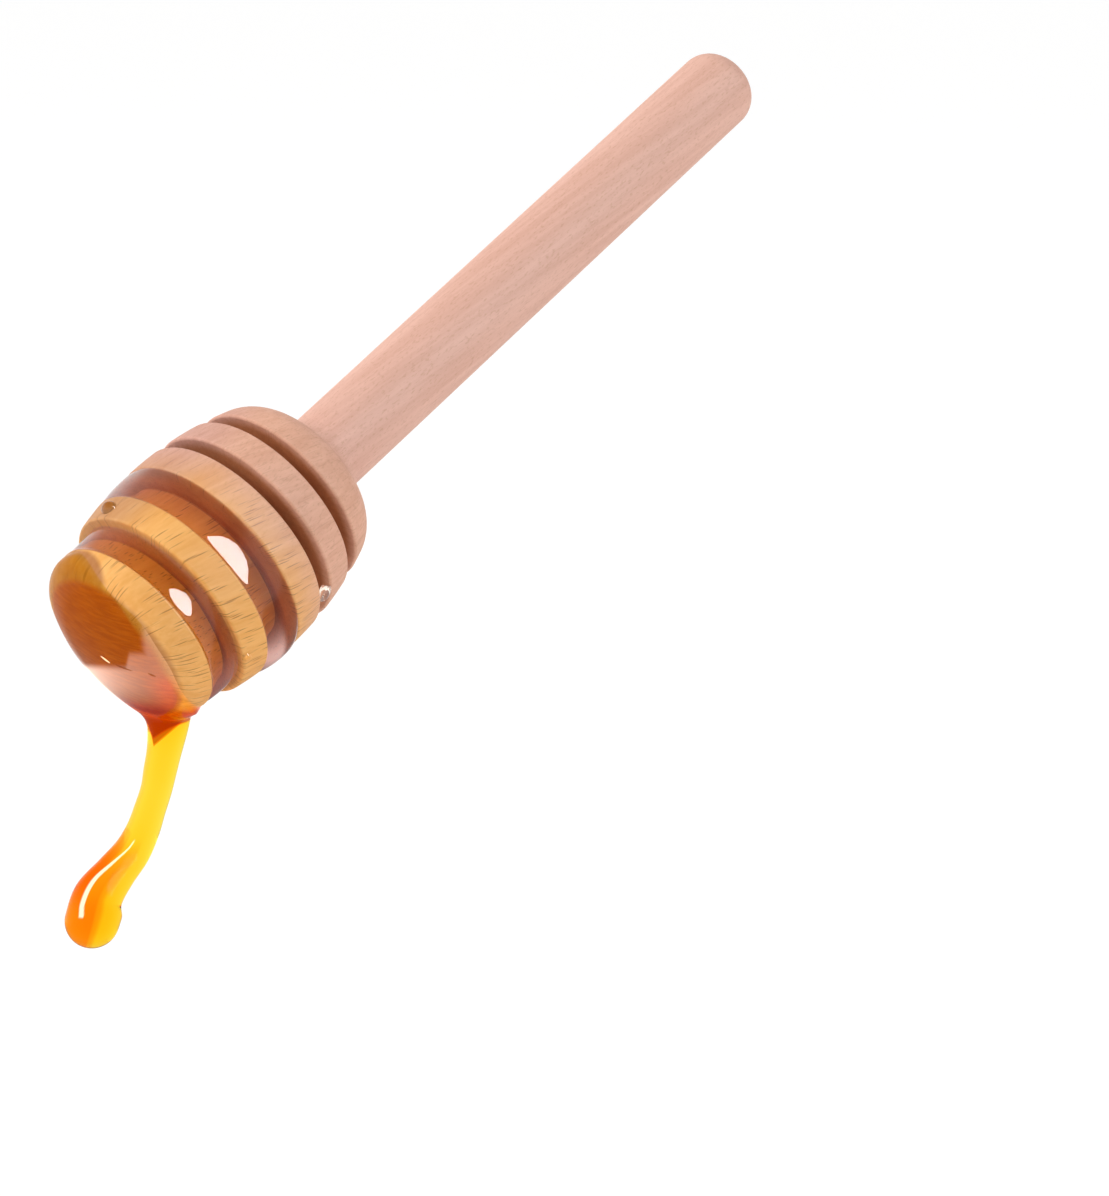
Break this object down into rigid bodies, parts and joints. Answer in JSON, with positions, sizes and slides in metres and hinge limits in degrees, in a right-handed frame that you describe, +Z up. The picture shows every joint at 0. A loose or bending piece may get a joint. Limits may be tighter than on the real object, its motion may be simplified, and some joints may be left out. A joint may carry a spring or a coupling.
{
  "type": "honey dipper",
  "caption": "Turned wooden honey dipper with a straight dowel handle and a grooved barrel head, with honey held in its grooves and running off its nose.",
  "frame": {"origin": "on the handle's axis in the middle of the grip, where fingers hold it", "axes": "+Z up; the dipper's axis lies in the XZ plane and rises from the head toward +X at 30 degrees above level, as it is held to let honey run; +Y across"},
  "size_m": [0.0746, 0.0184, 0.0649],
  "materials": {
    "beech_handle": "bare sanded beech, matte",
    "beech_head": "bare sanded beech, golden where honey has wet it",
    "wood_glue": "dried wood glue",
    "honey": "clear wet amber"
  },
  "bodies": {
    "root": {"handle": "beech_handle", "dipper_head": "beech_head", "joint_glue": "wood_glue", "honey_upper_ring": "honey", "honey_lower_ring": "honey", "honey_nose_coat": "honey", "honey_drip": "honey"}
  },
  "joints": []
}
